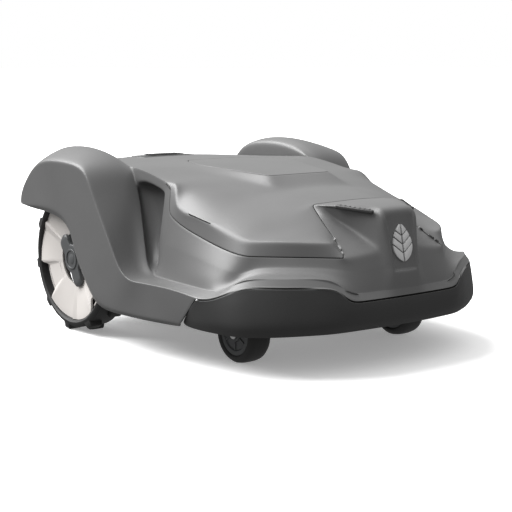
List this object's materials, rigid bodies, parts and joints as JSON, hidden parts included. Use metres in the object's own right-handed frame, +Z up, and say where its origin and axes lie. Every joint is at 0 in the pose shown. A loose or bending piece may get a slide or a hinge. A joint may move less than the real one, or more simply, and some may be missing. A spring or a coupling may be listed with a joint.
{
  "type": "robotic lawn mower",
  "caption": "Four-wheeled robotic lawn mower: floating body with high rear fenders, hatch and bumper over a sealed chassis with a height-adjustable blade disc.",
  "frame": {"origin": "on the ground, under the middle of the mower's footprint", "axes": "-Y is the driving direction, +X is the mower's left side, +Z is up"},
  "size_m": [0.56, 0.7176, 0.303],
  "materials": {
    "body_plastic": "finely textured dark grey moulded plastic",
    "cover_plastic": "finely textured dark grey moulded plastic",
    "bumper_rubber": "soft matte black rubber",
    "trim_black": "black moulded plastic",
    "badge_plastic": "satin light grey",
    "tyre_rubber": "black tread rubber",
    "rim_plastic": "warm light grey moulded plastic",
    "hub_plastic": "dark grey moulded plastic",
    "chassis_plastic": "dark structural plastic",
    "seal_rubber": "soft black rubber",
    "steel": "zinc plated steel",
    "blade_steel": "ground hardened steel",
    "motor_metal": "cast aluminium",
    "battery_plastic": "shrink wrapped cells",
    "board_green": "solder mask",
    "display_glass": "dark display window",
    "key_green": "green key",
    "key_grey": "grey key"
  },
  "bodies": {
    "chassis": {"chassis_base": "chassis_plastic", "chassis_cover": "chassis_plastic", "chassis_seal": "seal_rubber", "chassis_screws": "steel", "battery_pack": "battery_plastic", "battery_cover": "chassis_plastic", "battery_cover_screws": "steel", "main_board": "board_green", "carry_handle": "chassis_plastic", "suspension_posts": "seal_rubber", "control_panel": "chassis_plastic", "display": "display_glass", "drive_motor_left": "motor_metal", "drive_motor_right": "motor_metal", "height_motor": "motor_metal", "guide_rod": "steel", "cutting_bellows": "seal_rubber"},
    "float_carriage": {"float_frame": "chassis_plastic"},
    "floating_body": {"body_shell": "body_plastic", "top_cover": "cover_plastic", "front_bumper": "bumper_rubber", "nose_badge": "badge_plastic", "contact_strips": "trim_black", "hatch_pins": "steel", "stop_boot": "seal_rubber"},
    "hatch": {"hatch": "cover_plastic"},
    "stop_button": {"stop_button": "trim_black"},
    "cutting_head": {"cutting_motor": "motor_metal"},
    "height_screw": {"height_screw": "steel"},
    "blade_disc": {"blade_disc": "motor_metal", "cutting_shaft": "steel", "blade_screws": "steel"},
    "blade_1": {"blade_1": "blade_steel"},
    "blade_2": {"blade_2": "blade_steel"},
    "blade_3": {"blade_3": "blade_steel"},
    "skid_plate": {"skid_plate": "chassis_plastic"},
    "start_key": {"start_key": "key_green"},
    "home_key": {"home_key": "key_grey"},
    "power_key": {"power_key": "key_grey"},
    "selector_dial": {"selector_dial": "key_grey"},
    "main_switch": {"main_switch": "chassis_plastic"},
    "rear_wheel_left": {"rear_tyre_left": "tyre_rubber", "rear_rim_left": "rim_plastic", "hub_cap_left": "hub_plastic", "drive_axle_left": "steel"},
    "caster_fork_left": {"caster_fork_left": "chassis_plastic", "caster_axle_left": "steel"},
    "caster_wheel_left": {"caster_tyre_left": "tyre_rubber", "caster_wheel_left": "hub_plastic"},
    "rear_wheel_right": {"rear_tyre_right": "tyre_rubber", "rear_rim_right": "rim_plastic", "hub_cap_right": "hub_plastic", "drive_axle_right": "steel"},
    "caster_fork_right": {"caster_fork_right": "chassis_plastic", "caster_axle_right": "steel"},
    "caster_wheel_right": {"caster_tyre_right": "tyre_rubber", "caster_wheel_right": "hub_plastic"}
  },
  "joints": [
    {"name": "rear_wheel_spin_left", "type": "hinge", "parent": "chassis", "child": "rear_wheel_left", "pos_m": [0.235, 0.186, 0.1225], "axis": [1, 0, 0], "continuous": true},
    {"name": "caster_swivel_left", "type": "hinge", "parent": "chassis", "child": "caster_fork_left", "pos_m": [0.163, -0.191, 0.12], "axis": [0, 0, 1], "continuous": true},
    {"name": "caster_roll_left", "type": "hinge", "parent": "caster_fork_left", "child": "caster_wheel_left", "pos_m": [0.163, -0.171, 0.046], "axis": [1, 0, 0], "continuous": true},
    {"name": "rear_wheel_spin_right", "type": "hinge", "parent": "chassis", "child": "rear_wheel_right", "pos_m": [-0.235, 0.186, 0.1225], "axis": [1, 0, 0], "continuous": true},
    {"name": "caster_swivel_right", "type": "hinge", "parent": "chassis", "child": "caster_fork_right", "pos_m": [-0.163, -0.191, 0.12], "axis": [0, 0, 1], "continuous": true},
    {"name": "caster_roll_right", "type": "hinge", "parent": "caster_fork_right", "child": "caster_wheel_right", "pos_m": [-0.163, -0.171, 0.046], "axis": [1, 0, 0], "continuous": true},
    {"name": "cutting_height", "type": "slide", "parent": "chassis", "child": "cutting_head", "axis": [0, 0, 1], "range_m": [-0.04, 0], "deforming": ["cutting_bellows"]},
    {"name": "screw_turn", "type": "hinge", "parent": "chassis", "child": "height_screw", "pos_m": [0.062, -0.02, 0.12], "axis": [0, 0, 1], "range_deg": [-1440.1, 0]},
    {"name": "blade_disc_spin", "type": "hinge", "parent": "cutting_head", "child": "blade_disc", "pos_m": [0, -0.02, 0.07], "axis": [0, 0, 1], "continuous": true},
    {"name": "blade_1_swing", "type": "hinge", "parent": "blade_disc", "child": "blade_1", "pos_m": [0.07621, 0.024, 0.0622], "axis": [0, 0, 1], "continuous": true},
    {"name": "blade_2_swing", "type": "hinge", "parent": "blade_disc", "child": "blade_2", "pos_m": [-0.07621, 0.024, 0.0622], "axis": [0, 0, 1], "continuous": true},
    {"name": "blade_3_swing", "type": "hinge", "parent": "blade_disc", "child": "blade_3", "pos_m": [0, -0.108, 0.0622], "axis": [0, 0, 1], "continuous": true},
    {"name": "skid_plate_spin", "type": "hinge", "parent": "blade_disc", "child": "skid_plate", "pos_m": [0, -0.02, 0.055], "axis": [0, 0, 1], "continuous": true},
    {"name": "body_shift", "type": "slide", "parent": "chassis", "child": "float_carriage", "axis": [0, 1, 0], "range_m": [-0.006, 0.006], "stiffness_N_per_m": 6000},
    {"name": "body_lift", "type": "slide", "parent": "float_carriage", "child": "floating_body", "axis": [0, 0, 1], "range_m": [0, 0.01]},
    {"name": "hatch_open", "type": "hinge", "parent": "floating_body", "child": "hatch", "pos_m": [0, -0.081, 0.2685], "axis": [1, 0, 0], "range_deg": [0, 80]},
    {"name": "stop_press", "type": "slide", "parent": "floating_body", "child": "stop_button", "axis": [0, 0, -1], "range_m": [0, 0.004], "stiffness_N_per_m": 1500, "springref_m": -0.002, "deforming": ["stop_boot"]},
    {"name": "start_press", "type": "slide", "parent": "chassis", "child": "start_key", "axis": [0, 0, -1], "range_m": [0, 0.001], "stiffness_N_per_m": 600, "springref_m": -0.001},
    {"name": "home_press", "type": "slide", "parent": "chassis", "child": "home_key", "axis": [0, 0, -1], "range_m": [0, 0.001], "stiffness_N_per_m": 600, "springref_m": -0.001},
    {"name": "power_press", "type": "slide", "parent": "chassis", "child": "power_key", "axis": [0, 0, -1], "range_m": [0, 0.001], "stiffness_N_per_m": 600, "springref_m": -0.001},
    {"name": "selector_turn", "type": "hinge", "parent": "chassis", "child": "selector_dial", "pos_m": [0, -0.024, 0.22], "axis": [0, 0, 1], "continuous": true},
    {"name": "main_switch_rock", "type": "hinge", "parent": "chassis", "child": "main_switch", "pos_m": [0, 0.262, 0.085], "axis": [1, 0, 0], "range_deg": [-8, 8]}
  ],
  "couplings": [
    {"joint": "screw_turn", "follows": "cutting_height", "rad_per_m": 628.32}
  ]
}
